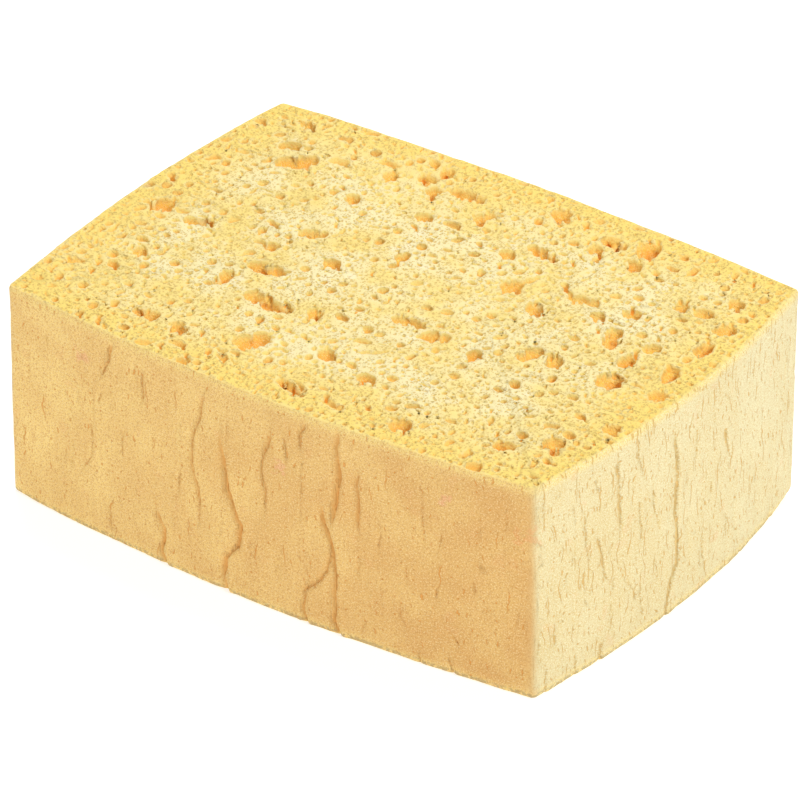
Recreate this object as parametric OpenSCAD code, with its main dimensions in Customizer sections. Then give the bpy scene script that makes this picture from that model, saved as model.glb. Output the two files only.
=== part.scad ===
// Grout sponge: one block of open-cell cellulose foam.
// Its top and bottom are flat cut faces, where the cut has opened the larger cells of the foam.
// Its four sides are the closed skin of the foam. They swell out between sharp upright corners,
// and shrinkage has drawn upright creases into them.
// The origin is on the bottom face, under the middle of the block: +X along its length, +Z up.

/* [Block] */
// Overall length, over the swollen ends
block_l = 190; // [170:1:210]
// Overall width, over the swollen sides
block_w = 138; // [120:1:160]
// Thickness between the two cut faces
block_h = 68; // [50:1:90]
// Width of the soft bevel round each cut face
edge_bevel = 1; // [0.5:0.1:1.5]
// How far each upright corner is worn back
corner_wear = 1; // [0.5:0.1:2]

/* [Swell of the sides] */
// Front side, between its corners
swell_front = 6; // [2:0.5:8]
// Back side
swell_back = 4; // [2:0.5:8]
// Left end
swell_left = 4; // [2:0.5:8]
// Right end
swell_right = 6; // [2:0.5:8]

/* [Open cells] */
// How far the middle of a cell lies below the cut face, as a share of its width
cell_sink = 0.25; // [0.1:0.05:0.35]
// Size of all cells, against the sizes listed
cell_scale = 1; // [0.7:0.1:1.1]

/* [Creases] */
// Radius of a crease's groove
crease_r = 1.4; // [1:0.1:2]
// Depth of the groove below the skin
crease_cut = 0.7; // [0.4:0.1:0.9]

/* [Hidden] */

// The corners stand on a rectangle inside the swell, and its middle is off the block's own middle.
corner_l = block_l - swell_left - swell_right;
corner_w = block_w - swell_front - swell_back;
corner_reach = norm([corner_l, corner_w]) / 2;
middle_x = (swell_left - swell_right) / 2;
middle_y = (swell_front - swell_back) / 2;

// Each side is an arc through its two corners.
function arc_r(chord, swell) = (chord * chord / 4 + swell * swell) / (2 * swell);
front_r = arc_r(corner_l, swell_front);
back_r = arc_r(corner_l, swell_back);
left_r = arc_r(corner_w, swell_left);
right_r = arc_r(corner_w, swell_right);

disc_segments = 360;
cell_segments = 32;
crease_segments = 24;

// The largest cells of a cut face: [x, y, length, width, turn of the length from +X in degrees],
// laid out on a face whose corners are listed_l by listed_w apart.
listed_l = 180;
listed_w = 128;
cells = [
    [-26, -28, 16, 6, -3], [-37, -14, 12, 5, 5], [-66, 39, 12, 6, 36], [-15, 52, 11, 4, 0],
    [-17, -47, 10, 8, 90], [12, -14, 10, 4, 5], [6, -58, 10, 4, -12], [63, 12, 10, 5, 120],
    [75, -6, 9, 7, 60], [45, 24, 9, 4, 10], [20, 39, 9, 4, -5], [34, 55, 8, 4, -5],
    [23, -16, 8, 5, 20], [37, 13, 8, 6, -50], [49, -8, 8, 5, 70], [-50, -53, 8, 4, 0],
    [-83, -3, 7, 5, 20], [-69, -4, 8, 4, 36], [-44, -25, 8, 4, 95], [-38, 9, 8, 4, 30],
    [44, -57, 6, 6, 0], [87, 22, 7, 4, 90], [24, 19, 6, 6, 0], [81, -42, 6, 5, 30],
];

// The deepest creases, each a straight groove: [place along the side and height of its upper end,
// place and height of its lower end], for a block listed_h high.
listed_h = 68;
long_side_creases = [
    [[-11, 53], [-6, 26]], [[-5, 20], [-10, -1]], [[29, 68], [29.5, 50]], [[29, 46], [26.5, 34]],
    [[23, 43], [24.5, 36]], [[26, 32], [28, 20]], [[28, 16], [28.5, -1]], [[23.5, 17], [17.5, -1]],
    [[7, 62], [3, 44]], [[-35, 20], [-32, -1]], [[36, 58], [36, 34]], [[-19, 52], [-20, 20]],
];
end_creases = [
    [[-6, 65], [-4, 30]], [[-4, 26], [-9, -1]], [[-32, 66], [-29, 35]], [[-40, 44], [-34, 22]],
    [[20, 48], [24, 34]], [[-38, 7], [-37.5, -1]],
];

// One side's circle, as tall as the block and bevelled at both cut faces
module side_disc(r) {
    rotate_extrude($fn = disc_segments)
        polygon([
            [0, 0], [r - edge_bevel, 0], [r, edge_bevel],
            [r, block_h - edge_bevel], [r - edge_bevel, block_h], [0, block_h],
        ]);
}

// The block without its cells and creases, about the middle of its corner rectangle
module plain_block() {
    intersection() {
        translate([0, front_r - corner_w / 2 - swell_front, 0]) side_disc(front_r);
        translate([0, corner_w / 2 + swell_back - back_r, 0]) side_disc(back_r);
        translate([left_r - corner_l / 2 - swell_left, 0, 0]) side_disc(left_r);
        translate([corner_l / 2 + swell_right - right_r, 0, 0]) side_disc(right_r);
        side_disc(corner_reach - corner_wear);
    }
}

// An open cell is a short row of hollows, each as wide as the cell where it meets the face.
module open_cell(length, width) {
    size = width * cell_scale;
    sink = size * cell_sink;
    hollow_r = norm([size / 2, sink]);
    reach = (length - width) * cell_scale;
    count = max(1, ceil(reach / (size / 2)) + 1);
    for (i = [0 : count - 1])
        translate([count > 1 ? reach * (i / (count - 1) - 0.5) : 0, 0, -sink])
            sphere(r = hollow_r, $fn = cell_segments);
}

// The large cells of an upward face at height 0
module face_cells() {
    for (c = cells)
        translate([c[0] * corner_l / listed_l, c[1] * corner_w / listed_w, 0])
            rotate([0, 0, c[4]])
                open_cell(c[2], c[3]);
}

// A straight groove from a to b
module groove(a, b) {
    run = b - a;
    length = norm(run);
    translate(a)
        rotate([0, acos(run[2] / length), atan2(run[1], run[0])])
            cylinder(r = crease_r, h = length, $fn = crease_segments);
}

// Creases in a side that faces -Y, whose chord passes through the origin and whose arc has radius r.
// stretch fits the listed places to the side's length.
module side_creases(creases, r, swell, stretch) {
    lift = block_h / listed_h;
    out = crease_r - crease_cut;
    function on_side(p) =
        [p[0] * stretch, r - swell - out - sqrt(r * r - pow(p[0] * stretch, 2)), p[1] * lift];
    for (ends = creases) groove(on_side(ends[0]), on_side(ends[1]));
}

module all_creases() {
    stretch_l = corner_l / listed_l;
    stretch_w = corner_w / listed_w;
    translate([0, -corner_w / 2, 0])
        side_creases(long_side_creases, front_r, swell_front, stretch_l);
    translate([corner_l / 2, 0, 0]) rotate([0, 0, 90])
        side_creases(end_creases, right_r, swell_right, stretch_w);
    translate([0, corner_w / 2, 0]) rotate([0, 0, 180])
        side_creases(long_side_creases, back_r, swell_back, stretch_l);
    translate([-corner_l / 2, 0, 0]) rotate([0, 0, -90])
        side_creases(end_creases, left_r, swell_left, stretch_w);
}

module sponge_block() {
    color([0.98, 0.86, 0.52])
        translate([middle_x, middle_y, 0])
            difference() {
                plain_block();
                translate([0, 0, block_h]) face_cells();
                rotate([180, 0, 0]) face_cells();
                all_creases();
            }
}

sponge_block();
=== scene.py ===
"""The looks of a grout sponge: one block of cellulose foam with open cells in its cut faces.

The foam is worked out as a field on a grid (negative inside the foam), in millimetres, and its
surface is meshed. Cells are voids taken out of the block, and creases are grooves in its sides.
"""
import math

import bpy
import numpy as np
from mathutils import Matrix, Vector


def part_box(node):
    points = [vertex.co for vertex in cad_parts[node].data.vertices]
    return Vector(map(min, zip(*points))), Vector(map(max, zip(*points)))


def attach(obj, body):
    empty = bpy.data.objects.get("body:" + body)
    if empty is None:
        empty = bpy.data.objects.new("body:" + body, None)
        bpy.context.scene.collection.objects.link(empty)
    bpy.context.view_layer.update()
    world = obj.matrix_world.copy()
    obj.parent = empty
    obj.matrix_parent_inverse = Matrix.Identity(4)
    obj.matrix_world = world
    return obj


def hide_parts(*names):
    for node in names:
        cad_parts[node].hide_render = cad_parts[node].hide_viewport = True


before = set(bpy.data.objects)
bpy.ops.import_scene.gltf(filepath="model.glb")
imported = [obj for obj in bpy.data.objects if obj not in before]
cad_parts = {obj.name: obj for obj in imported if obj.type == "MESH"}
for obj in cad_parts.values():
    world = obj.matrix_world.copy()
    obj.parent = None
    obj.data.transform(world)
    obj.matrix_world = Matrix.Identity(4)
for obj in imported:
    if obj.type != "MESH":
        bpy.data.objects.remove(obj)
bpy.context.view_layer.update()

MM = 0.001
BLOCK = "sponge_block"
low, high = (np.array(corner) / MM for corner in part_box(BLOCK))
LENGTH, WIDTH, HEIGHT = high - low

# How far each side swells out between its corners, in mm
SWELL = {"front": 6.0, "back": 4.0, "left": 4.0, "right": 6.0}
CORNER_L = LENGTH - SWELL["left"] - SWELL["right"]
CORNER_W = WIDTH - SWELL["front"] - SWELL["back"]
# The middle of the rectangle that the four corners stand on
MID_X = (low[0] + high[0] + SWELL["left"] - SWELL["right"]) / 2
MID_Y = (low[1] + high[1] + SWELL["front"] - SWELL["back"]) / 2
BASE_Z = low[2]

# ---------------------------------------------------------------- grid and noise

FINE_STEP = 0.42     # across the cut faces, and down through the cells
COARSE_STEP = 0.65   # in height, between the two cell layers
CELL_LAYER = 9.0     # depth of the layer that holds cells
MARGIN = 1.5         # room round the block


def steps(start, stop, step):
    """Evenly spaced values from start to stop, about step apart."""
    return np.linspace(start, stop, int(round((stop - start) / step)) + 1, dtype=np.float32)


xs = steps(-LENGTH / 2 - MARGIN, LENGTH / 2 + MARGIN, FINE_STEP)
ys = steps(-WIDTH / 2 - MARGIN, WIDTH / 2 + MARGIN, FINE_STEP)
zs = np.concatenate([
    steps(-MARGIN, CELL_LAYER, FINE_STEP),
    steps(CELL_LAYER, HEIGHT - CELL_LAYER, COARSE_STEP)[1:-1],
    steps(HEIGHT - CELL_LAYER, HEIGHT + MARGIN, FINE_STEP),
])
xs += (low[0] + high[0]) / 2 - MID_X
ys += (low[1] + high[1]) / 2 - MID_Y


def noise(seed, axes, sizes):
    """Smooth noise from -1 to 1 over a grid, with features of the given size along each axis."""
    rng = np.random.default_rng(seed)
    index, blend = [], []
    for values, size in zip(axes, sizes):
        t = (values - values[0]) / size
        i = np.floor(t).astype(int)
        f = t - i
        index.append(i)
        blend.append((f * f * (3 - 2 * f)).astype(np.float32))
    a = rng.uniform(-1, 1, [i.max() + 2 for i in index]).astype(np.float32)
    for n, (i, f) in enumerate(zip(index, blend)):
        shape = [1] * len(axes)
        shape[n] = len(f)
        f = f.reshape(shape)
        a = a.take(i, axis=n) * (1 - f) + a.take(i + 1, axis=n) * f
    return a


def smooth_max(a, b, k):
    """The larger of two fields, with the edge between them rounded over k mm."""
    h = np.clip(1 - np.abs(a - b) / k, 0, 1)
    return np.maximum(a, b) + h * h * (k / 4)


def smooth_min(a, b, k):
    return -smooth_max(-a, -b, k)


# ---------------------------------------------------------------- block

SIDE_EDGE = 1.3      # rounding of the upright corners
CUT_EDGE = 1.4       # rounding round the cut faces
SIDE_PROUD = 0.55    # how far the skin stands out, so that the worn corners stay in their places
CUT_PROUD = 0.35     # the same for the cut faces
WORN_EDGE = 3.0      # more rounding at the lower corner of the right end and the back
WORN_REACH = 13.0    # how far from that corner it reaches


def arc_radius(chord, swell):
    return (chord * chord / 4 + swell * swell) / (2 * swell)


def arc_field(along, across, chord, offset, swell):
    """Distance outside the arc through two corners, for a side that faces +across."""
    r = arc_radius(chord, swell)
    return np.sqrt(along ** 2 + (across - (offset + swell - r)) ** 2) - r


def side_fields(x, y):
    """Distance outside each side's arc, about the middle of the corner rectangle."""
    return {
        "front": arc_field(x, -y, CORNER_L, CORNER_W / 2, SWELL["front"]),
        "right": arc_field(y, x, CORNER_W, CORNER_L / 2, SWELL["right"]),
        "back": arc_field(x, y, CORNER_L, CORNER_W / 2, SWELL["back"]),
        "left": arc_field(y, -x, CORNER_W, CORNER_L / 2, SWELL["left"]),
    }


def plain_fields(x, y, z):
    """Distance outside the plain block's sides and cut faces, at points."""
    fields = side_fields(x, y)
    fields["top"] = z - HEIGHT
    fields["bottom"] = -z
    return fields


# ---------------------------------------------------------------- creases

# Each crease is its depth and its run of (place along the side, height), in mm. A place runs
# along +X on the long sides and along +Y on the ends. A height below 0 cuts the bottom edge.
LONG_CREASES = [
    (1.5, [(-11, 53), (-11, 49), (-8, 35), (-6, 26), (-4, 24), (-5, 17), (-9, 11), (-10, -1)]),
    (1.6, [(29.5, 69), (29, 60), (30, 51), (28.5, 42), (27, 36), (26, 32)]),
    (0.9, [(26.5, 30), (25, 20), (21.5, 14), (18, 11), (17.5, -1)]),
    (1.5, [(23, 43), (24, 37), (26, 32), (27, 27), (28, 20), (28.5, -1)]),
    (0.8, [(7, 63), (6, 56), (4, 50), (3, 44), (4.5, 39), (4.5, 32), (1.5, 27)]),
    (0.8, [(-16, 66), (-19, 52), (-21, 45), (-21, 38), (-19, 31), (-19, 19), (-22, 13)]),
    (0.7, [(11, 59), (12, 50)]),
    (0.8, [(19, 66), (17, 62), (16.5, 55)]),
    (0.9, [(36, 58), (35, 52), (36, 48), (35.5, 40), (36, 34)]),
    (0.9, [(-50, 66), (-51, 60), (-53, 56), (-56, 51)]),
    (0.4, [(-54, 48), (-56, 43)]),
    (0.5, [(-39, 62), (-39, 49)]),
    (0.4, [(-58, 38), (-58, 32), (-59, 25), (-64, 17)]),
    (0.3, [(-46, 39), (-47, 28)]),
    (1.1, [(-35, 20), (-34, 16), (-31, 12), (-32, 4), (-32, -1)]),
    (0.5, [(-25, 35), (-26, 30), (-27, 25)]),
    (0.4, [(-55, 12), (-52, 9), (-51, 2)]),
    (0.3, [(55, 61), (56, 51), (56.5, 46), (56.5, 35)]),
    (0.4, [(43, 39), (42, 32)]),
    (0.4, [(48.5, 17), (49.5, 13), (52, 10)]),
    (0.5, [(66, 13), (68, 10)]),
    (0.6, [(55, 4), (54.5, -1)]),
    (0.5, [(65, 6), (65, -1)]),
    (0.5, [(60, 27), (60, 23)]),
    (0.4, [(72, 33), (72.5, 28)]),
    (0.4, [(62, 45), (62, 41)]),
    (0.3, [(82, 56), (81.5, 51)]),
    (0.4, [(-62, 58), (-61, 56)]),
    (0.3, [(-69, 24), (-69.5, 18)]),
]
END_CREASES = [
    (1.3, [(-6, 66), (-5, 53), (-4, 42), (-4.5, 31), (-3.5, 26), (-4, 14), (-8, 8), (-9, -1)]),
    (0.9, [(-32, 66), (-31, 57), (-31, 48), (-30, 42), (-29, 35)]),
    (0.5, [(-23.5, 67), (-22.5, 59), (-20, 52)]),
    (0.5, [(-40, 61), (-39, 54)]),
    (0.4, [(-45.5, 54), (-44.5, 45), (-43.5, 38), (-42.5, 30)]),
    (0.8, [(-40.5, 44), (-38, 37), (-37, 29), (-33.5, 22)]),
    (0.4, [(-33, 26), (-33, 20)]),
    (0.4, [(-22, 46), (-20.5, 35), (-21, 27)]),
    (0.6, [(-16, 48), (-14.5, 39), (-12.5, 31), (-13, 28)]),
    (0.4, [(-14.5, 22), (-13, 12)]),
    (0.5, [(-22, 20), (-21, 12), (-20, 3)]),
    (0.4, [(-29, 24), (-25, 17), (-22, 10)]),
    (0.5, [(-34.5, 18), (-33.5, 10), (-32, 7)]),
    (0.5, [(-45, 24), (-43.5, 20)]),
    (0.8, [(-57, 18), (-56, 13)]),
    (0.3, [(-61, 63), (-60.5, 58)]),
    (0.3, [(-49, 57), (-48.5, 47)]),
    (1.0, [(-38, 7), (-37.5, -1)]),
    (0.4, [(-54.5, 22), (-53.5, 20)]),
    (0.4, [(-60, 9), (-59.5, -1)]),
    (0.5, [(-48.5, 8), (-47.5, -1)]),
    (0.9, [(20, 48), (22, 41), (24.5, 34)]),
    (0.4, [(5, 55), (4.5, 44)]),
    (0.5, [(13.5, 33), (13.5, 28)]),
    (0.3, [(20.5, 20), (22, 8)]),
    (0.4, [(8, 19), (10, 4)]),
    (0.4, [(52.5, 22), (52.5, 17)]),
    (0.4, [(35.5, 31), (36, 27)]),
]
LONG_SLOPE = 1.5     # how far the gentle side of a deep crease spreads, on the long sides
END_SLOPE = 0.8      # the same on the ends
SIDE_LAYOUT = {  # creases, spread of a deep one, which way their places run, small cracks
    "front": (LONG_CREASES, LONG_SLOPE, 1, 60),
    "right": (END_CREASES, END_SLOPE, 1, 100),
    "back": (LONG_CREASES, LONG_SLOPE, -1, 60),
    "left": (END_CREASES, END_SLOPE, -1, 100),
}
AXIS_ALONG = {"front": 0, "right": 1, "back": 0, "left": 1}

DEEP = 0.6           # a crease with a listed depth above this is a deep one
# A crease's shape: its depth as a share of the listed one, the spread of its steep side and of
# its gentle side, and the strength of its painted shade line. For a deep crease, SIDE_LAYOUT
# has the third.
DEEP_SHAPE = (0.85, 0.26, None, 1.0)
SHALLOW_SHAPE = (1.1, 0.28, 0.6, 0.8)
CRACK_SHAPE = (1.0, 0.28, 0.35, 0.4)
CRACK_DEPTH = (0.2, 0.4)        # least and greatest
TAPER = (5, 4)       # a crease fades in over 1/5 of its run, and fades out over 1/4
LEAST_DEPTH = 0.2    # share of its depth that a crease has at its very ends
PROFILE = 1.1        # how round the bottom of a crease is: 1 is a sharp notch
LIP = 0.30           # height of the lip beside a crease, as a share of the crease's depth
LIP_AT = 1.2         # distance from the crease to the lip's top
LINE_REACH = 2.5     # how deep below the plain side the painted shade line of a crease is still drawn
LINE = 0.34          # half-width of the painted shade line at the bottom of a crease


def crease_depth(t, z, path, depth, steep, gentle, wander):
    """One crease over a grid of places t and heights z, tapered at its ends.

    Gives its depth, and the strength of the painted shade line at its bottom, from 0 to 1. Its side
    towards the higher places is steep and stands up in a lip, and its other side slopes gently.
    wander moves the crease aside at each height. A crease that cuts the bottom edge isn't tapered
    there.
    """
    reach = 3 * gentle + 2
    places, heights = zip(*path)
    t0, t1 = np.searchsorted(t, (min(places) - reach, max(places) + reach))
    z0, z1 = np.searchsorted(z, (min(heights) - reach, max(heights) + reach))
    tt, zz = t[t0:t1, None] - wander[None, z0:z1], z[None, z0:z1]
    nearest = np.full((t1 - t0, z1 - z0), 1e9, np.float32)
    along = np.zeros_like(nearest)
    side = np.zeros_like(nearest)
    lengths = [math.dist(a, b) for a, b in zip(path, path[1:])]
    total, done = sum(lengths), 0.0
    for (a, b), length in zip(zip(path, path[1:]), lengths):
        dt, dz = (b[0] - a[0]) / length, (b[1] - a[1]) / length
        s = np.clip((tt - a[0]) * dt + (zz - a[1]) * dz, 0, length)
        off_t, off_z = tt - a[0] - s * dt, zz - a[1] - s * dz
        gap = np.hypot(off_t, off_z)
        closer = gap < nearest
        along = np.where(closer, (done + s) / total, along)
        side = np.where(closer, off_t, side)
        nearest = np.minimum(nearest, gap)
        done += length
    taper = np.clip(along * TAPER[0], LEAST_DEPTH, 1)
    if heights[-1] >= 0:
        taper = taper * np.clip((1 - along) * TAPER[1], LEAST_DEPTH, 1)
    width = np.where(side > 0, steep, gentle)
    lip = np.where(side > 0, LIP * np.exp(-((nearest - LIP_AT) / LIP_AT) ** 2), 0)
    whole = np.zeros((2, len(t), len(z)), np.float32)
    whole[0, t0:t1, z0:z1] = depth * taper * (np.exp(-((nearest / width) ** PROFILE)) - lip)
    whole[1, t0:t1, z0:z1] = taper * np.exp(-((nearest / LINE) ** 2))
    return whole


def side_relief(seed, t, z, creases, slope, turn, cracks):
    """How far a side is drawn in, over a grid of places t and heights z: (swells, creases, lines).

    lines is not a distance: it is the strength of the painted shade line at the bottom of each
    crease.
    slope is the spread of a deep crease's gentle side, and turn is -1 where the listed places
    run the other way.
    """
    rng = np.random.default_rng(seed)
    swells = 0.40 * noise(seed + 1, (t, z), (24, 30)) + 0.16 * noise(seed + 2, (t, z), (7, 20))
    swells += 0.08 * noise(seed + 3, (t, z), (1.7, 5)) + 0.05 * noise(seed + 4, (t, z), (1.0, 1.4))
    wander = 0.40 * noise(seed + 5, (z,), (3,)) + 0.45 * noise(seed + 6, (z,), (7,))
    wander += 0.22 * noise(seed + 8, (z,), (1.5,))
    drawn, lines, raised = np.zeros((3, *swells.shape), np.float32)

    def draw(run, depth, shape):
        share, steep, gentle, strength = shape
        new, line = crease_depth(t, z, run, share * depth, steep, gentle or slope, wander)
        np.maximum(drawn, new, out=drawn)
        np.minimum(raised, new, out=raised)
        np.maximum(lines, line * strength, out=lines)

    for depth, path in creases:
        run = [(turn * a, h) for a, h in path]
        draw(run, depth, DEEP_SHAPE if depth > DEEP else SHALLOW_SHAPE)
    span = t[-1] - t[0]
    for _ in range(cracks):
        at = rng.uniform(-0.47, 0.47) * span
        top = rng.uniform(4, HEIGHT - 1)
        drop = 2 + rng.exponential(5)
        bend = rng.normal(0, 0.4)
        run = [(at, top), (at + bend, top - drop / 2), (at + rng.normal(0, 0.8), top - drop)]
        draw(run, rng.uniform(*CRACK_DEPTH), CRACK_SHAPE)
    drawn = (drawn + raised) * (1 + 0.45 * noise(seed + 7, (t, z), (4, 5)))
    return swells.astype(np.float32), drawn.astype(np.float32), lines


RELIEFS = {
    side: side_relief(100 + 10 * n, (xs, ys)[AXIS_ALONG[side]], zs, *layout)
    for n, (side, layout) in enumerate(SIDE_LAYOUT.items())
}


def block_fields():
    """The block's sides with their creases, and the whole block, without cells, over the grid."""
    flat = side_fields(xs[:, None], ys[None, :])
    sides = None
    for side, axis in AXIS_ALONG.items():
        swells, drawn, _ = RELIEFS[side]
        relief = swells + drawn - SIDE_PROUD
        relief = relief[:, None, :] if axis == 0 else relief[None, :, :]
        field = flat[side][:, :, None].astype(np.float32) + relief
        sides = field if sides is None else smooth_max(sides, field, SIDE_EDGE)
    sag = 0.15 * noise(7, (xs, ys), (30, 30))[:, :, None] - CUT_PROUD
    cut = np.abs(zs - HEIGHT / 2)[None, None, :] - HEIGHT / 2 + sag
    away = (xs[:, None, None] - CORNER_L / 2) ** 2 + (ys[None, :, None] - CORNER_W / 2) ** 2
    worn = WORN_EDGE * np.exp(-away / WORN_REACH ** 2) * (zs < HEIGHT / 2)
    return sides, smooth_max(sides, cut.astype(np.float32), (CUT_EDGE + worn).astype(np.float32))


# ---------------------------------------------------------------- cells

# The largest cells of the top face: (x, y, length, width, turn of the length from +X in degrees)
LARGE_CELLS = [
    (-26, -28, 16, 6, -3), (-37, -14, 12, 5, 5), (-66, 39, 12, 6, 36), (-15, 52, 11, 4, 0),
    (-17, -47, 10, 6, 75), (12, -14, 10, 4, 5), (6, -60, 10, 4, -12), (63, 12, 10, 5, 120),
    (75, -6, 9, 7, 60), (45, 24, 9, 4, 10), (20, 39, 9, 4, -5), (34, 55, 8, 4, -5),
    (23, -16, 8, 5, 20), (37, 13, 8, 6, -50), (49, -8, 8, 5, 70), (-50, -53, 8, 4, 0),
    (-83, -3, 7, 5, 20), (-69, -4, 8, 4, 36), (-44, -25, 8, 4, 95), (-38, 9, 8, 4, 30),
    (44, 57, 8, 6, 120), (87, 22, 7, 4, 90), (24, 19, 6, 6, 0), (81, -42, 6, 5, 30),
    (42, -59, 6, 6, 0), (73, 5, 7, 4, 85), (56, -7, 7, 5, 120), (87, 6, 7, 4, 90),
    (13, 59, 6, 5, 0), (26, 23, 5, 3, 80), (-38, -54, 6, 4, -20), (-56, 46, 6, 3, 0),
    (-73, 45, 6, 4, 36), (-44, 54, 6, 3, 0), (-4, 45, 6, 4, 80), (-9, 36, 6, 3, 0),
    (-4, -23, 6, 3, -10), (8, -30, 6, 3, 20), (14, -33, 8, 2, 40), (45, 48, 6, 4, -20),
    (86, 34, 6, 5, 36), (76, 38, 6, 4, 0), (4, -41, 6, 4, -10), (21, -62, 7, 3, -10),
    (71, -51, 6, 4, 10), (-12, -25, 5, 4, -45), (13, 32, 5, 4, -30), (-30, 53, 5, 4, 0),
    (90, -27, 5, 4, 36), (20, -45, 5, 4, 0), (60, 26, 5, 4, 30), (69, 37, 5, 4, 126),
    (75, 14, 5, 4, 36), (90, -5, 5, 4, 30), (-33, -61, 6, 3, -10), (-62, 58, 5, 3, -10),
    (-51, 7, 5, 3, 0), (-83, -42, 5, 3, 36), (-87, 26, 5, 3, 36), (-18, 35, 5, 4, 0),
]
# Smaller cells with a place of their own: (x, y)
LONE_CELLS = [
    (-20, 16), (-19, 24), (12, -5), (18, -4), (51, 31), (57, 34), (54, 38), (69, 18), (62, -15),
    (38, -25), (39, -30), (24, -29), (38, -6), (26, -41), (13, -42), (79, -27), (72, -44),
    (84, -46), (25, 48), (24, 62), (87, 41), (86, 53), (-61, 2), (-52, -20), (-60, -27),
    (-66, -33), (-77, -33), (-82, 26), (-88, 6), (-87, -9), (-86, -56), (-82, -52), (-73, -52),
    (-64, -59), (-50, -63), (42, -13), (-9, 8), (2, 4), (29, 2), (-28, -8), (-58, 20), (-47, 31),
]
# The rest are scattered: (how many, least length, mean length above that, least distance to
# another cell as a share of the sum of their radii)
SCATTERED = [
    (200, 2.8, 0.7, 1.10),
    (620, 1.8, 0.5, 1.08),
    (2300, 1.1, 0.35, 1.02),
]
LONGEST_SCATTERED = 5.0
RIM_ZONE = 25.0      # width of the zone along the sides where cells are more crowded
MIDDLE_SHARE = 0.7   # share of the scattered cells that are kept further in
EDGE_GAP = 0.5       # least distance from a scattered cell's middle to a side
TRIES = 15           # most places tried, for each scattered cell that is wanted
SCATTERED_WIDTH = (0.55, 0.9)   # as a share of the cell's length
SCATTERED_DEPTH = (0.6, 1.15)   # as a share of the cell's width
TURN_SPREAD = 0.7    # how far the turn of a small cell strays from the lean, in radians
LONE_LENGTH = 3.8    # a lone cell's length, width (least and greatest) and depth
LONE_WIDTH = (2.6, 3.3)
LONE_DEPTH = 1.9
LONE_ROOM = 2        # radius that a lone cell keeps free of others
DEEPEST = 4.5        # depth of the deepest large cells
PORED_WIDTH = 3.5    # a cell at least this wide has pores in its walls and a torn rim
MOST_RAGGED = 1.2    # about how far noise moves the wall of a large cell
NO_VOID = 5.0        # value of the cells' field where no void is near
WALL = 0.4           # rounding of the lips and of the walls between lobes
SKIN = 0.9           # skin left whole between a cell and a side
LEAN = (0.4, -0.6)   # how far a cell moves sideways for each mm of depth, as the cut dragged it
ALONG_LEAN = math.atan2(LEAN[1], LEAN[0])
MOST_LEAN = max(map(abs, LEAN))


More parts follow.
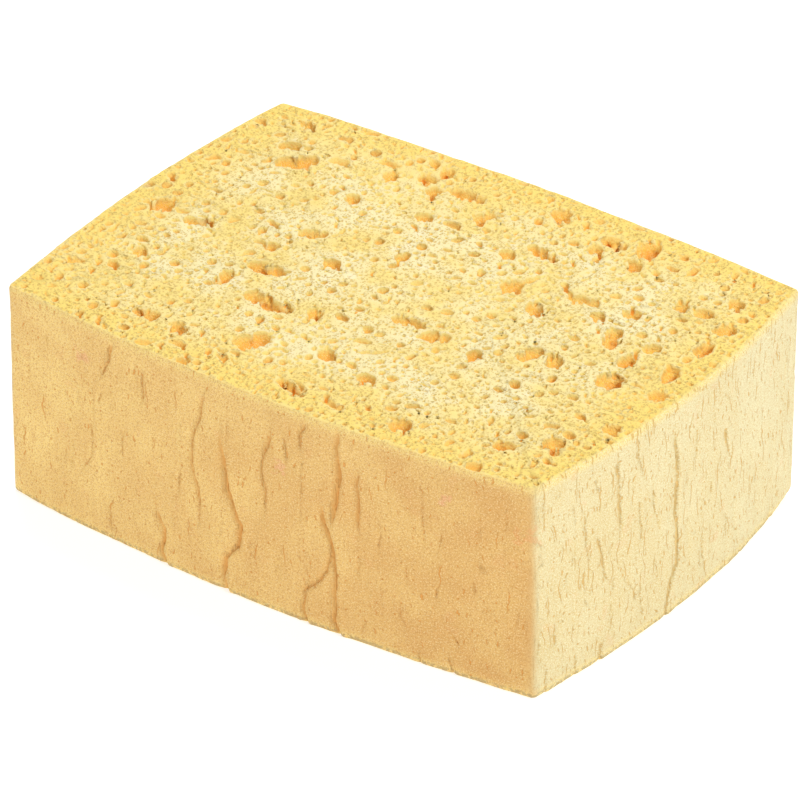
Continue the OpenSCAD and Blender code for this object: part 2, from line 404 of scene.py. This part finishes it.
class CellLayer:
    """The voids in one cut face. Depth is measured from that face into the block."""

    def __init__(self, seed, top):
        self.rng = np.random.default_rng(seed)
        keep = zs > HEIGHT - CELL_LAYER if top else zs < CELL_LAYER
        self.where = np.nonzero(keep)[0]
        self.depth = (HEIGHT - zs if top else zs)[keep]
        self.field = np.full((len(xs), len(ys), len(self.depth)), NO_VOID, np.float32)
        axes = (xs, ys, np.abs(self.depth - self.depth[0]))
        self.warp = [
            0.30 * noise(seed + n, axes, (1.3, 1.3, 1.3))
            + 0.35 * noise(seed + 2 + n, axes, (2.4, 2.4, 2.4))
            + 0.40 * noise(seed + 4 + n, axes, (5.5, 5.5, 5.5))
            for n in (1, 2)
        ]

    def void(self, x, y, depth, a, b, c, turn):
        """Takes out one ellipsoid with half-axes a, b across the face and c down into it."""
        reach = max(a, b) + MOST_LEAN * (depth + c) + MOST_RAGGED
        i0, i1 = np.searchsorted(xs, (x - reach, x + reach))
        j0, j1 = np.searchsorted(ys, (y - reach, y + reach))
        k = np.nonzero(np.abs(self.depth - depth) < c + 1.0)[0]
        if i1 <= i0 or j1 <= j0 or not len(k):
            return
        part = (slice(i0, i1), slice(j0, j1), slice(k[0], k[-1] + 1))
        down = np.maximum(self.depth[None, None, k[0]:k[-1] + 1], 0)
        ragged = min(0.5 * b, MOST_RAGGED)
        dx = xs[i0:i1, None, None] - x + ragged * self.warp[0][part] - LEAN[0] * down
        dy = ys[None, j0:j1, None] - y + ragged * self.warp[1][part] - LEAN[1] * down
        dz = self.depth[None, None, k[0]:k[-1] + 1] - depth
        co, si = math.cos(turn), math.sin(turn)
        across = ((dx * co + dy * si) / a) ** 2 + ((dy * co - dx * si) / b) ** 2
        q = np.sqrt(across + (dz / c) ** 2)
        self.field[part] = smooth_min(self.field[part], (q - 1) * min(a, b, c), WALL)

    def cell(self, x, y, length, width, turn, depth):
        """One open cell: lobes in a ragged row. A large one also has pores and a torn rim."""
        rng = self.rng
        co, si = math.cos(turn), math.sin(turn)

        def at(s, side):
            return x + s * co - side * si, y + s * si + side * co

        reach = (length - width) / 2
        lobes = 1 if width < 2 else 1 + int(round(2 * reach / (0.5 * width)))
        for n in range(lobes):
            if lobes == 1:
                s, side, r, stretch = 0, 0, width / 2, length / width
            else:
                s = (2 * n / (lobes - 1) - 1) * reach
                r = width / 2 * rng.uniform(0.7, 1.12)
                side, stretch = rng.normal(0, 0.14) * width, 1.1
            self.void(
                *at(s, side), depth * rng.uniform(0.0, 0.3), r * stretch, r,
                depth * rng.uniform(0.75, 1.0), turn + (rng.normal(0, 0.4) if lobes > 1 else 0),
            )
        if width < PORED_WIDTH:
            return
        for _ in range(int(length * width * 0.4)):
            r = rng.uniform(0.45, 1.0)
            self.void(
                *at(rng.uniform(-0.5, 0.5) * length, rng.uniform(-0.5, 0.5) * width),
                depth * rng.uniform(0.6, 1.3), r, r * 0.8, r * 1.2, rng.uniform(0, math.pi),
            )
        for _ in range(int(3 * (length + width))):
            angle = rng.uniform(0, 2 * math.pi)
            out = math.atan2(math.sin(angle) / width, math.cos(angle) / length) + turn
            dragged = math.cos(out - ALONG_LEAN) > 0.4
            run = rng.uniform(*((0.5, 1.3) if dragged else (0.3, 0.5)))
            self.void(
                *at(0.50 * length * math.cos(angle), 0.52 * width * math.sin(angle)),
                rng.uniform(0.2, 0.9), run, rng.uniform(0.26, 0.38),
                rng.uniform(0.8, 1.6), ALONG_LEAN,
            )


def fill_layer(layer, large, lone):
    """Places the large and lone cells, then scatters smaller ones between them."""
    rng = layer.rng
    pitch = 8.0          # cells are looked up by squares of this size
    taken = {}

    def take(x, y, r):
        for gx in (-1, 0, 1):
            for gy in (-1, 0, 1):
                square = (int(x // pitch) + gx, int(y // pitch) + gy)
                taken.setdefault(square, []).append((x, y, r))

    def free(x, y, r, gap):
        near = taken.get((int(x // pitch), int(y // pitch)), ())
        return all(math.hypot(x - px, y - py) > (r + pr) * gap for px, py, pr in near)

    for x, y, length, width, degrees in large:
        depth = min(0.8 + 0.5 * width, DEEPEST)
        layer.cell(x, y, length, width, math.radians(degrees), depth)
        take(x, y, (length + width) / 4)
    for x, y in lone:
        width = rng.uniform(*LONE_WIDTH)
        layer.cell(x, y, LONE_LENGTH, width, rng.normal(ALONG_LEAN, TURN_SPREAD), LONE_DEPTH)
        take(x, y, LONE_ROOM)
    for count, least, spread, gap in SCATTERED:
        placed = tries = 0
        while placed < count and tries < count * TRIES:
            tries += 1
            x, y = rng.uniform(xs[0], xs[-1]), rng.uniform(ys[0], ys[-1])
            length = min(least + rng.exponential(spread), LONGEST_SCATTERED)
            inset = -max(side_fields(x, y).values())
            wanted = inset < RIM_ZONE or rng.uniform() < MIDDLE_SHARE
            if inset < EDGE_GAP or not wanted or not free(x, y, length / 2, gap):
                continue
            width = length * rng.uniform(*SCATTERED_WIDTH)
            turn = rng.normal(ALONG_LEAN, TURN_SPREAD)
            layer.cell(x, y, length, width, turn, width * rng.uniform(*SCATTERED_DEPTH))
            take(x, y, length / 2 * 0.9)
            placed += 1


def foam_field():
    """The whole sponge over the grid. The bottom's large cells are the top's, mirrored."""
    sides, field = block_fields()
    for seed, top, turn in ((1000, True, 1), (2000, False, -1)):
        layer = CellLayer(seed, top)
        large = [(x, turn * y, a, b, turn * degrees) for x, y, a, b, degrees in LARGE_CELLS]
        fill_layer(layer, large, [(x, turn * y) for x, y in LONE_CELLS])
        part = (slice(None), slice(None), slice(layer.where[0], layer.where[-1] + 1))
        cells = smooth_max(layer.field, sides[part] + SKIN, WALL)
        field[part] = smooth_max(field[part], -cells, WALL)
    return field


# ---------------------------------------------------------------- mesh

HOLLOW_REACH = (2, 4)    # half-widths, in grid steps, of the boxes that hollowness is measured in


def box_mean(grid, half):
    """The mean of a grid over a box round each of its points; past its ends the grid is 0."""
    for axis in range(3):
        wide = [(0, 0)] * 3
        wide[axis] = (half + 1, half)
        total = np.cumsum(np.pad(grid, wide), axis=axis, dtype=np.float32)
        size = grid.shape[axis]
        ahead = total.take(range(2 * half + 1, 2 * half + 1 + size), axis=axis)
        grid = (ahead - total.take(range(size), axis=axis)) / (2 * half + 1)
    return grid


CORNERS = np.array([(i, j, k) for i in (0, 1) for j in (0, 1) for k in (0, 1)])
EDGES = [
    (a, b) for a in range(8) for b in range(a + 1, 8)
    if abs(CORNERS[a] - CORNERS[b]).sum() == 1
]


def sample(grid, axes, at):
    """Values between the points of a grid; axes are its places and at the places wanted."""
    index, blend = [], []
    for values, wanted in zip(axes, at):
        i = np.clip(np.searchsorted(values, wanted) - 1, 0, len(values) - 2)
        index.append(i)
        blend.append(np.clip((wanted - values[i]) / (values[i + 1] - values[i]), 0, 1))
    total = 0
    for corner in np.ndindex(*[2] * len(axes)):
        share = 1
        for side, f in zip(corner, blend):
            share = share * (f if side else 1 - f)
        total = total + share * grid[tuple(i + side for i, side in zip(index, corner))]
    return total


def crease_line(p, fields):
    """How far each point lies at the bottom of a crease, from 0 to 1."""
    lines = []
    for side, axis in AXIS_ALONG.items():
        line = sample(RELIEFS[side][2], ((xs, ys)[axis], zs), (p[:, axis], p[:, 2]))
        lines.append(np.where(fields[side] > -LINE_REACH, line, 0))
    return np.max(lines, axis=0)


def surface(field):
    """Surface nets: one vertex in each grid box that the surface crosses, joined by quads."""
    inside = field < 0
    n = [s - 1 for s in field.shape]
    count = np.zeros(n, np.int8)
    for i, j, k in CORNERS:
        count += inside[i:n[0] + i, j:n[1] + j, k:n[2] + k]
    box = np.argwhere((count > 0) & (count < 8))
    values = np.stack([field[tuple((box + c).T)] for c in CORNERS])
    total = np.zeros((len(box), 3))
    crossings = np.zeros(len(box))
    for a, b in EDGES:
        cut = (values[a] < 0) != (values[b] < 0)
        t = np.where(cut, values[a] / np.where(cut, values[a] - values[b], 1), 0)[:, None]
        total += np.where(cut[:, None], CORNERS[a] + t * (CORNERS[b] - CORNERS[a]), 0)
        crossings += cut
    local = total / crossings[:, None]
    verts = np.stack([
        places[box[:, d]] + local[:, d] * (places[box[:, d] + 1] - places[box[:, d]])
        for d, places in enumerate((xs, ys, zs))
    ], axis=1)

    number = np.full(n, -1, np.int32)
    number[tuple(box.T)] = np.arange(len(box))
    quads = []
    for axis in range(3):
        first = [slice(1, -1)] * 3
        first[axis] = slice(0, -1)
        second = list(first)
        second[axis] = slice(1, None)
        a, b = inside[tuple(first)], inside[tuple(second)]
        edge = np.argwhere(a != b)
        leaving = a[tuple(edge.T)]
        start = edge + 1
        start[:, axis] -= 1
        u, v = np.zeros(3, int), np.zeros(3, int)
        u[(axis + 1) % 3] = v[(axis + 2) % 3] = 1
        ring = np.stack([number[tuple((start - d).T)] for d in (u + v, v, 0 * u, u)], axis=1)
        quads.append(np.where(leaving[:, None], ring, ring[:, ::-1]))
    return verts, np.concatenate(quads)


def largest_piece(verts, faces):
    """Drops closed bubbles and loose crumbs, and keeps the one large surface."""
    label = np.arange(len(verts))
    while True:
        lowest = label[faces].min(axis=1)
        new = label.copy()
        np.minimum.at(new, faces.ravel(), np.repeat(lowest, faces.shape[1]))
        new = new[new]
        if (new == label).all():
            break
        label = new
    kept = label == np.bincount(label).argmax()
    faces = faces[kept[faces[:, 0]]]
    renumber = np.cumsum(kept) - 1
    return verts[kept], renumber[faces]


def make_mesh(name, verts, faces):
    mesh = bpy.data.meshes.new(name)
    mesh.vertices.add(len(verts))
    mesh.vertices.foreach_set("co", verts.astype(np.float32).ravel())
    mesh.loops.add(faces.size)
    mesh.loops.foreach_set("vertex_index", faces.astype(np.int32).ravel())
    mesh.polygons.add(len(faces))
    size = faces.shape[1]
    mesh.polygons.foreach_set("loop_start", np.arange(0, faces.size, size, dtype=np.int32))
    mesh.polygons.foreach_set("loop_total", np.full(len(faces), size, np.int32))
    mesh.update(calc_edges=True)
    return mesh


MOST_TRIANGLES = 400_000
CREASES_KEPT = 20.0  # how much more a point at a crease's bottom counts when the mesh is thinned
LEAST_LINE = 0.1     # strength of the line above which a point counts as one


def build_sponge():
    """The sponge as one thinned mesh, and how much foam is round each point of the grid."""
    field = foam_field()
    solid = (field < 0).astype(np.float32)
    hollow = [box_mean(solid, half) for half in HOLLOW_REACH]
    points, faces = largest_piece(*surface(field))
    verts = (points + (MID_X, MID_Y, BASE_Z)) * MM
    sponge = bpy.data.objects.new("sponge", make_mesh("sponge", verts, faces))
    bpy.context.scene.collection.objects.link(sponge)
    kept = sponge.vertex_groups.new(name="creases")
    line = crease_line(points, plain_fields(*points.T))
    kept.add(np.flatnonzero(line > LEAST_LINE).tolist(), 1.0, "REPLACE")
    thin = sponge.modifiers.new("thin", "DECIMATE")
    thin.vertex_group = kept.name
    thin.invert_vertex_group = True
    thin.vertex_group_factor = CREASES_KEPT
    thin.ratio = min(1.0, MOST_TRIANGLES / (2 * len(faces)))
    thin.use_collapse_triangulate = True
    view = bpy.context.evaluated_depsgraph_get()
    final = bpy.data.meshes.new_from_object(sponge.evaluated_get(view))
    sponge.modifiers.clear()
    sponge.vertex_groups.clear()
    sponge.data = final
    final.shade_smooth()
    return sponge, hollow


# ---------------------------------------------------------------- marks and map on the mesh

CHART_EDGE = 2.0     # room round each chart
CHARTS = {  # where the chart of each face group starts on the map, in mm
    "top": (0.0, 0.0), "bottom": (0.0, 143.0), "front": (195.0, 0.0), "back": (268.0, 0.0),
    "right": (195.0, 195.0), "left": (195.0, 268.0),
}
MAP_SIZE = 342.0     # side of the map that the charts lie on
END_BLEND = 2.6      # width, round an upright corner, of the change from long side to end


def mark_mesh(sponge, hollow):
    """Stores where each point lies, for the material, and lays out the map for baking.

    rim is the distance in from the skin, below the distance in from a cut face, both in mm.
    end is 1 at the two ends of the block, and line is 1 at the bottom of a crease. nook and
    hollow are the share of foam in a small and in a larger box round the point: about 0.5 where
    the surface is flat, and more in a hollow. The material paints shade from line, nook and
    hollow, and partly from end.
    """
    mesh = sponge.data
    co = np.empty(len(mesh.vertices) * 3, np.float32)
    mesh.vertices.foreach_get("co", co)
    p = co.reshape(-1, 3) / MM - (MID_X, MID_Y, BASE_Z)
    fields = plain_fields(*p.T)
    line = crease_line(p, fields)
    for side, axis in AXIS_ALONG.items():
        swells = RELIEFS[side][0]
        fields[side] += sample(swells, ((xs, ys)[axis], zs), (p[:, axis], p[:, 2])) - SIDE_PROUD
    names = list(fields)
    table = np.stack([fields[n] for n in names])
    long_sides = np.maximum(fields["front"], fields["back"])
    ends = np.maximum(fields["left"], fields["right"])
    marks = {
        "rim": -np.maximum(long_sides, ends),
        "below": CUT_PROUD - np.maximum(fields["top"], fields["bottom"]),
        "end": np.clip((ends - long_sides) / END_BLEND + 0.5, 0, 1),
        "line": line,
        "nook": sample(hollow[0], (xs, ys, zs), p.T),
        "hollow": sample(hollow[1], (xs, ys, zs), p.T),
    }
    for name, values in marks.items():
        layer = mesh.attributes.new(name, "FLOAT", "POINT")
        layer.data.foreach_set("value", values.astype(np.float32))

    corner = np.empty(len(mesh.loops), np.int32)
    mesh.loops.foreach_get("vertex_index", corner)
    tri = corner.reshape(-1, 3)
    group = np.repeat(table[:, tri].mean(axis=2).argmax(axis=0), 3)
    x, y, z = p[corner].T
    uv = np.zeros((len(corner), 2), np.float32)
    half_l, half_w = LENGTH / 2 + CHART_EDGE, WIDTH / 2 + CHART_EDGE
    for n, name in enumerate(names):
        here = group == n
        u0, v0 = CHARTS[name]
        if name in ("top", "bottom"):
            u, v = x + half_l, y + half_w
        elif name in ("front", "back"):
            u, v = z + CHART_EDGE, x + half_l
        else:
            u, v = y + half_w, z + CHART_EDGE
        uv[here] = np.stack([u0 + u[here], v0 + v[here]], axis=1) / MAP_SIZE
    layer = mesh.uv_layers.new(name="OFBake")
    layer.data.foreach_set("uv", uv.ravel())


# ---------------------------------------------------------------- material


class Nodes:
    """Short calls for building a material's nodes."""

    def __init__(self, material):
        material.use_nodes = True
        self.tree = material.node_tree
        self.tree.nodes.clear()

    def add(self, kind, inputs=None, **settings):
        node = self.tree.nodes.new(kind)
        for key, value in settings.items():
            setattr(node, key, value)
        for key, value in (inputs or {}).items():
            if isinstance(value, bpy.types.NodeSocket):
                self.tree.links.new(value, node.inputs[key])
            else:
                node.inputs[key].default_value = value
        return node

    def attribute(self, name):
        return self.add("ShaderNodeAttribute", attribute_name=name).outputs["Fac"]

    def math(self, operation, a, b=0.0, c=0.0):
        return self.add("ShaderNodeMath", {0: a, 1: b, 2: c}, operation=operation).outputs[0]

    def mix_value(self, share, a, b):
        return self.add("ShaderNodeMix", {0: share, 2: a, 3: b}, data_type="FLOAT").outputs[0]

    def ramp(self, value, low_, high_, to_low=0.0, to_high=1.0, smooth=True):
        inputs = {
            "Value": value, "From Min": low_, "From Max": high_,
            "To Min": to_low, "To Max": to_high,
        }
        return self.add(
            "ShaderNodeMapRange", inputs,
            interpolation_type="SMOOTHSTEP" if smooth else "LINEAR", clamp=True,
        ).outputs["Result"]

    def mix(self, share, a, b):
        a, b = (c if isinstance(c, bpy.types.NodeSocket) else (*c, 1.0) for c in (a, b))
        return self.add("ShaderNodeMix", {0: share, 6: a, 7: b}, data_type="RGBA").outputs[2]

    def noise(self, vector, scale, detail=2.0, roughness=0.5):
        return self.add(
            "ShaderNodeTexNoise",
            {"Vector": vector, "Scale": scale, "Detail": detail, "Roughness": roughness},
        ).outputs["Fac"]


def spots(n, vector, scale, radius, share):
    """Soft-edged spots on a flat pattern; share is how many of its cells hold one."""
    inputs = {"Vector": vector, "Scale": scale}
    cells = n.add("ShaderNodeTexVoronoi", inputs, voronoi_dimensions="2D")
    pick = n.add("ShaderNodeSeparateColor", {0: cells.outputs["Color"]}).outputs
    chosen = n.math("LESS_THAN", pick[0], share)
    wide = n.math("MULTIPLY_ADD", pick[1], radius * 0.6, radius * 0.5)
    edge = n.math("DIVIDE", cells.outputs["Distance"], wide)
    return n.math("MULTIPLY", n.ramp(edge, 0.7, 1.1, 1.0, 0.0), chosen)


def cut_face_colour(n, mm, rim):
    """Cream walls between fine pores, yellower in patches and towards the rim.

    Gives the colour, and how far each place is a pore.
    """
    patches = n.ramp(n.noise(mm, 0.06, 3), 0.30, 0.65, 0.2, 1.0)
    middle = n.ramp(rim, 2, 30, 0.0, 1.0)
    colour = n.mix(n.math("MULTIPLY", patches, middle), (0.92, 0.69, 0.195), (0.905, 0.785, 0.435))
    pale = n.ramp(n.noise(mm, 0.18, 3), 0.60, 0.72, 0.0, 0.45)
    colour = n.mix(n.math("MULTIPLY", pale, middle), colour, (0.93, 0.85, 0.62))
    pores = n.math("MAXIMUM", spots(n, mm, 0.85, 0.34, 0.55), spots(n, mm, 1.5, 0.34, 0.40))
    return n.mix(n.math("MULTIPLY", pores, 0.8), colour, (0.77, 0.52, 0.16)), pores


STAINS = [  # middle, about the block's own origin, radius and colour of the skin's stains
    ((87, -63, 52), 3.5, (0.86, 0.36, 0.14)),
    ((8, -68, 48), 2.5, (0.90, 0.42, 0.30)),
    ((63, -67, 55), 2.5, (0.90, 0.42, 0.30)),
    ((-63, -66, 57), 2.0, (0.90, 0.42, 0.30)),
]


def skin_colour(n, mm, end, below, line):
    """A denser skin with a fine grain, pinholes, upright cracks and faint stains. Its long sides
    are darker and more orange than its ends, partly as painted shade; it has a painted contact
    shadow along its foot and a painted shade line at the bottom of each crease.

    Gives its colour, and how far each place is a crack, a pinhole or the bottom of a crease.
    """
    x, y, z = n.add("ShaderNodeSeparateXYZ", {0: mm}).outputs
    across = n.ramp(n.math("SUBTRACT", y, x), -150, 30, smooth=False)
    tone = n.mix_value(0.3, across, n.ramp(n.noise(mm, 0.06, 3), 0.35, 0.65))
    # Partly painted shade: the long sides are darker and more orange than the ends, partly the
    # skin's own colour.
    long_side = n.mix(tone, (0.76, 0.44, 0.15), (1.0, 0.76, 0.295))
    short_end = n.mix(tone, (0.80, 0.655, 0.34), (0.89, 0.81, 0.52))
    colour = n.mix(end, long_side, short_end)
    colour = n.mix(n.ramp(below, 0.4, 4.0, 0.85, 0.0), colour, (1.0, 0.785, 0.295))
    stain = n.ramp(n.noise(mm, 0.13, 2), 0.62, 0.74)
    colour = n.mix(n.math("MULTIPLY", stain, 0.25), colour, (0.86, 0.46, 0.20))
    for centre, radius, hue in STAINS:
        apart = n.add("ShaderNodeVectorMath", {0: mm, 1: centre}, operation="DISTANCE")
        wobble = n.ramp(n.noise(mm, 0.4, 2), 0.3, 0.7, -radius, radius)
        apart = n.math("ADD", apart.outputs["Value"], wobble)
        colour = n.mix(n.ramp(apart, 0, radius, 0.45, 0.0), colour, hue)

    def drawn_out(place, share):
        """The side as a flat pattern, its heights times share: below 1, it is drawn out upwards."""
        return n.add("ShaderNodeCombineXYZ", {0: place, 1: n.math("MULTIPLY", z, share)}).outputs[0]

    along = n.mix_value(end, x, y)
    flat = n.add("ShaderNodeCombineXYZ", {0: along, 1: z}).outputs[0]
    streaks = n.ramp(n.noise(drawn_out(along, 0.12), 0.9, 3, 0.6), 0.42, 0.66, 0.0, 0.22)
    colour = n.mix(streaks, colour, n.mix(end, (0.80, 0.46, 0.16), (0.84, 0.64, 0.28)))
    dark = n.ramp(n.noise(mm, 2.3, 1, 0.6), 0.50, 0.62, 0.0, 0.62)
    colour = n.mix(dark, colour, n.mix(end, (0.66, 0.34, 0.10), (0.74, 0.52, 0.20)))
    light = n.ramp(n.noise(flat, 2.2, 1, 0.6), 0.52, 0.64, 0.0, 0.55)
    colour = n.mix(light, colour, n.mix(end, (1.0, 0.82, 0.46), (0.98, 0.93, 0.68)))

    sway = n.math("MULTIPLY_ADD", n.noise(mm, 0.10, 1), 6.0, n.noise(mm, 0.7, 2))
    place = n.math("ADD", along, sway)
    marks = spots(n, drawn_out(place, 0.05), 0.55, 0.12, n.mix_value(end, 0.12, 1.0))
    short = spots(n, drawn_out(place, 0.22), 0.60, 0.14, n.mix_value(end, 0.20, 0.80))
    marks = n.math("MAXIMUM", marks, short)
    marks = n.math("MAXIMUM", marks, spots(n, flat, 0.50, 0.17, 0.12))
    # Painted shade line: the bottom of each crease is painted dark, with frayed edges.
    frayed = n.math("ADD", line, n.ramp(n.noise(mm, 1.5, 2, 0.7), 0.35, 0.65, -0.45, 0.10))
    marks = n.math("MAXIMUM", marks, n.ramp(frayed, 0.2, 0.7))
    # Painted contact shadow: a dark, patchy band along the foot of the sides.
    foot = n.ramp(z, 0.6, 2.0, 1.0, 0.0)
    painted_contact_shadow = n.math("MULTIPLY", foot, n.ramp(n.noise(mm, 0.9, 3), 0.38, 0.55))
    colour = n.mix(n.math("MULTIPLY", painted_contact_shadow, 0.6), colour, (0.38, 0.28, 0.16))
    # Cracks and pinholes have their own darker colour, which also paints the shade line at the
    # bottom of creases.
    crack_and_crease_shade = n.mix(end, (0.80, 0.34, 0.07), (0.75, 0.43, 0.11))
    return n.mix(n.math("MULTIPLY", marks, 0.72), colour, crack_and_crease_shade), marks


def foam_material():
    """Cream cut faces, cells that turn orange with their depth as painted shade, and a browner
    skin.
    """
    material = bpy.data.materials.new("cellulose_foam")
    n = Nodes(material)
    rim, below, end = n.attribute("rim"), n.attribute("below"), n.attribute("end")
    place = n.add("ShaderNodeTexCoord").outputs["Object"]
    mm = n.add("ShaderNodeVectorMath", {0: place, "Scale": 1 / MM}, operation="SCALE").outputs[0]
    depth = n.math("MINIMUM", rim, below)
    cut = n.ramp(n.math("SUBTRACT", rim, below), -0.5, 0.5)

    cream, pores = cut_face_colour(n, mm, rim)
    nook, hollow = n.attribute("nook"), n.attribute("hollow")
    # Painted shade: the cells turn orange and darker with their depth, in place of the shade and
    # light bounced inside them.
    shallow = n.mix(n.ramp(rim, 6, 26), (0.98, 0.72, 0.22), (0.90, 0.73, 0.25))
    inner = n.mix(n.ramp(depth, 0.6, 2.1), shallow, (0.96, 0.61, 0.115))
    inner = n.mix(n.ramp(depth, 1.8, 3.2), inner, (1.0, 0.48, 0.08))
    grain = n.ramp(n.noise(mm, 3.0, 2, 0.7), 0.52, 0.60, 0.0, 0.7)
    inner = n.mix(n.math("MULTIPLY", grain, n.ramp(depth, 0.8, 2.0)), inner, (1.0, 0.80, 0.38))
    mottle = n.ramp(n.noise(mm, 2.0, 3, 0.7), 0.47, 0.57, 0.0, 0.6)
    mottle = n.math("MULTIPLY", mottle, n.ramp(depth, 0.4, 1.8, 0.4, 1.0))
    inner = n.mix(mottle, inner, (0.91, 0.44, 0.085))
    # Painted shade: tight nooks and deep hollows are painted a deeper orange.
    tight_shade = n.ramp(nook, 0.56, 0.76, 0.0, 0.6)
    tight_shade = n.math("MULTIPLY", tight_shade, n.ramp(depth, 0.5, 1.6, 0.4, 1.0))
    inner = n.mix(tight_shade, inner, (0.97, 0.49, 0.09))
    inner = n.mix(n.ramp(hollow, 0.60, 0.85, 0.0, 0.65), inner, (1.0, 0.35, 0.04))
    mouth = n.ramp(depth, 0.12, 0.48)
    opened = n.mix(mouth, cream, inner)
    # Painted highlight: the convex lips round the cells are painted paler.
    opened = n.mix(n.ramp(nook, 0.45, 0.34, 0.0, 0.3), opened, (0.93, 0.80, 0.45))
    skin, marks = skin_colour(n, mm, end, below, n.attribute("line"))
    # Painted shade: the skin turns more orange the deeper it lies in a crease.
    drawn = n.mix(end, (0.92, 0.53, 0.17), (0.90, 0.69, 0.32))
    skin_with_crease_shade = n.mix(n.ramp(depth, 0.12, 1.0), skin, drawn)
    colour = n.mix(cut, skin_with_crease_shade, opened)

    rugged = n.math("MULTIPLY_ADD", n.math("MULTIPLY", cut, mouth), 0.15, 0.35)
    height = n.math("MULTIPLY", n.noise(mm, 1.8, 4, 0.65), rugged)
    face = n.math("SUBTRACT", cut, mouth)
    height = n.math("SUBTRACT", height, n.math("MULTIPLY", n.math("MULTIPLY", pores, face), 0.35))
    height = n.math("SUBTRACT", height, n.math("MULTIPLY", marks, 0.25))
    bump = n.add("ShaderNodeBump", {"Strength": 0.8, "Distance": MM, "Height": height}).outputs[0]
    rough = n.ramp(n.noise(mm, 0.8, 3), 0.3, 0.7, 0.82, 0.98)

    shader = n.add("ShaderNodeBsdfPrincipled", {
        "Base Color": colour, "Roughness": rough, "Normal": bump, "Specular IOR Level": 0.15,
    })
    n.add("ShaderNodeOutputMaterial", {"Surface": shader.outputs[0]})
    return material


# ---------------------------------------------------------------- studio

FLOOR_HALF = 4.0     # in m
FLOOR_GLOW = 0.68
CAMERA_AZIMUTH = math.radians(36.0)     # from -Y towards +X
CAMERA_ELEVATION = math.radians(31.95)
CAMERA_DISTANCE = 2.131                 # in m
CAMERA_AIM = (2.56, -4.98, 0.3)         # from the middle of the corner rectangle, in mm
WORLD_COLOUR = (1.0, 0.98, 0.95, 1)
WORLD_STRENGTH = 0.35


def floor_material():
    material = bpy.data.materials.new("floor")
    n = Nodes(material)
    place = n.add("ShaderNodeTexCoord").outputs["Object"]
    tone = n.mix(n.noise(place, 3, 2), (0.50, 0.50, 0.50), (0.53, 0.53, 0.53))
    shader = n.add("ShaderNodeBsdfPrincipled", {
        "Base Color": tone, "Roughness": 0.9,
        "Emission Color": (1, 1, 1, 1), "Emission Strength": FLOOR_GLOW,
    })
    n.add("ShaderNodeOutputMaterial", {"Surface": shader.outputs[0]})
    return material


def make_floor():
    verts = np.array([(-1, -1, 0), (1, -1, 0), (1, 1, 0), (-1, 1, 0)]) * FLOOR_HALF
    verts[:, 2] = -CUT_PROUD * MM
    floor = bpy.data.objects.new("floor", make_mesh("floor", verts, np.array([[0, 1, 2, 3]])))
    bpy.context.scene.collection.objects.link(floor)
    floor.data.materials.append(floor_material())


def look_at(obj, eye, target):
    direction = np.array(target) - np.array(eye)
    obj.location = eye
    obj.rotation_euler = Vector(direction).to_track_quat("-Z", "Y").to_euler()


def area_light(name, eye, target, size, power, colour):
    data = bpy.data.lights.new(name, "AREA")
    data.shape = "DISK"
    data.size = size
    data.energy = power
    data.color = colour
    light = bpy.data.objects.new(name, data)
    bpy.context.scene.collection.objects.link(light)
    look_at(light, eye, target)


def make_camera():
    target = (np.array([MID_X, MID_Y, HEIGHT / 2]) + CAMERA_AIM) * MM
    back = np.array([
        math.sin(CAMERA_AZIMUTH) * math.cos(CAMERA_ELEVATION),
        -math.cos(CAMERA_AZIMUTH) * math.cos(CAMERA_ELEVATION),
        math.sin(CAMERA_ELEVATION),
    ])
    data = bpy.data.cameras.new("camera")
    data.sensor_width = 36
    data.lens = 340
    camera = bpy.data.objects.new("camera", data)
    bpy.context.scene.collection.objects.link(camera)
    look_at(camera, target + back * CAMERA_DISTANCE, target)
    bpy.context.scene.camera = camera


def make_studio():
    scene = bpy.context.scene
    scene.view_settings.view_transform = "Standard"
    scene.world = bpy.data.worlds.new("studio")
    scene.world.use_nodes = True
    background = scene.world.node_tree.nodes["Background"]
    background.inputs["Color"].default_value = WORLD_COLOUR
    background.inputs["Strength"].default_value = WORLD_STRENGTH
    middle = (0, 0, HEIGHT / 2 * MM)
    area_light("key", (1.5, -0.4, 1.2), middle, 0.5, 18, (0.96, 0.99, 1.0))
    area_light("top", (-0.3, 0.6, 1.6), middle, 0.7, 18, (0.96, 0.99, 1.0))
    area_light("fill", (-1.0, -1.3, 0.4), middle, 0.8, 5, (1.0, 0.76, 0.48))
    area_light("back fill", (-1.4, 1.0, 0.45), middle, 0.8, 3.5, (1.0, 0.88, 0.72))


make_camera()
make_studio()
make_floor()

sponge, hollow = build_sponge()
mark_mesh(sponge, hollow)
sponge.data.materials.append(foam_material())
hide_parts(BLOCK)
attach(sponge, "root")
